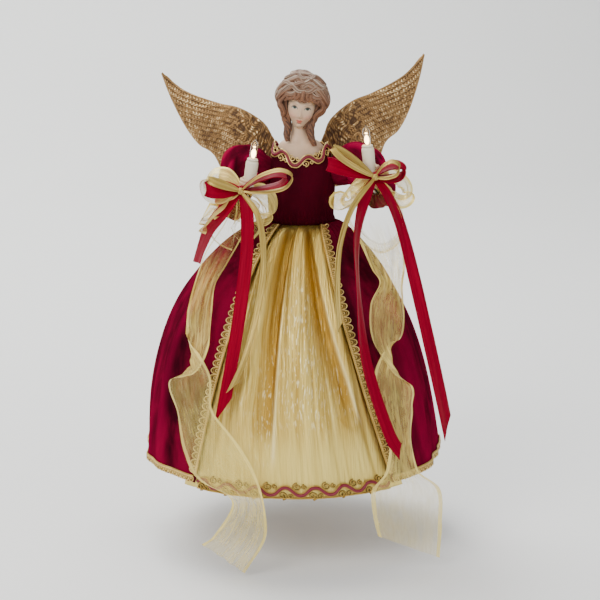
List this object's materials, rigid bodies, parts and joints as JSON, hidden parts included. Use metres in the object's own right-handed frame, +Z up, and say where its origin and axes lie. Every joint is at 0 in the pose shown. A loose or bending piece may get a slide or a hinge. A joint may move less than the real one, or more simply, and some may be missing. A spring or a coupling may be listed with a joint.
{
  "type": "angel tree topper",
  "caption": "Dressed angel figure on a hollow cone that slips over a tree's tip, with foil wings, wire arms that swing, ribbon bows and plug-in miniature lamps held as candles.",
  "frame": {"origin": "middle of the cone's open mouth, where the tip of the tree goes in", "axes": "+Z up the figure, -Y the way it faces, +X towards its left hand"},
  "size_m": [0.2339, 0.2377, 0.367],
  "materials": {
    "card": "kraft board, matt",
    "lining": "stiffened lining",
    "foam": "pressed foam",
    "wood": "bare",
    "wire": "bare",
    "lead": "insulated",
    "velvet": "crushed pile",
    "lame": "metallic crinkle",
    "braid": "metallic thread",
    "wine_cord": "round cord",
    "bisque": "painted flesh tint",
    "hair": "painted, dry-brushed",
    "foil": "embossed, antiqued",
    "satin": "satin",
    "tinsel": "metallic weave",
    "sheer": "sheer weave",
    "white_plastic": "moulded",
    "lamp_glass": "clear"
  },
  "bodies": {
    "figure": {"body_cone": "card", "skirt_lining": "lining", "front_panel": "lame", "overskirt": "velvet", "right_edge_braid": "braid", "left_edge_braid": "braid", "hem_braid": "braid", "panel_hem_cord": "wine_cord", "torso_former": "foam", "neck_dowel": "wood", "arm_crossbar": "wire", "bodice": "velvet", "neckline_cord": "wine_cord", "head_bust": "bisque", "hair": "hair", "wing_plate": "card", "right_wing": "foil", "left_wing": "foil", "lamp_harness": "lead", "harness_clip": "white_plastic"},
    "right_arm": {"right_sleeve": "velvet", "right_arm_wire": "wire", "right_hand": "bisque", "right_lamp_lead": "lead", "right_satin_bow": "satin", "right_tinsel_bow": "tinsel", "right_streamer": "sheer", "right_lamp_holder": "white_plastic"},
    "left_arm": {"left_sleeve": "velvet", "left_arm_wire": "wire", "left_hand": "bisque", "left_lamp_lead": "lead", "left_satin_bow": "satin", "left_tinsel_bow": "tinsel", "left_streamer": "sheer", "left_lamp_holder": "white_plastic"},
    "right_bulb_unit": {"right_bulb_base": "white_plastic", "right_bulb": "lamp_glass"},
    "left_bulb_unit": {"left_bulb_base": "white_plastic", "left_bulb": "lamp_glass"}
  },
  "joints": [
    {"name": "right_shoulder", "type": "hinge", "parent": "figure", "child": "right_arm", "pos_m": [-0.03, 0, 0.216], "axis": [0, 0, -1], "range_deg": [-5, 15]},
    {"name": "left_shoulder", "type": "hinge", "parent": "figure", "child": "left_arm", "pos_m": [0.03, 0, 0.216], "axis": [0, 0, 1], "range_deg": [-5, 15]},
    {"name": "right_bulb_pull", "type": "slide", "parent": "right_arm", "child": "right_bulb_unit", "axis": [0.1478, 0, 0.989], "range_m": [0, 0.014]},
    {"name": "left_bulb_pull", "type": "slide", "parent": "left_arm", "child": "left_bulb_unit", "axis": [-0.1045, 0, 0.9945], "range_m": [0, 0.014]}
  ]
}
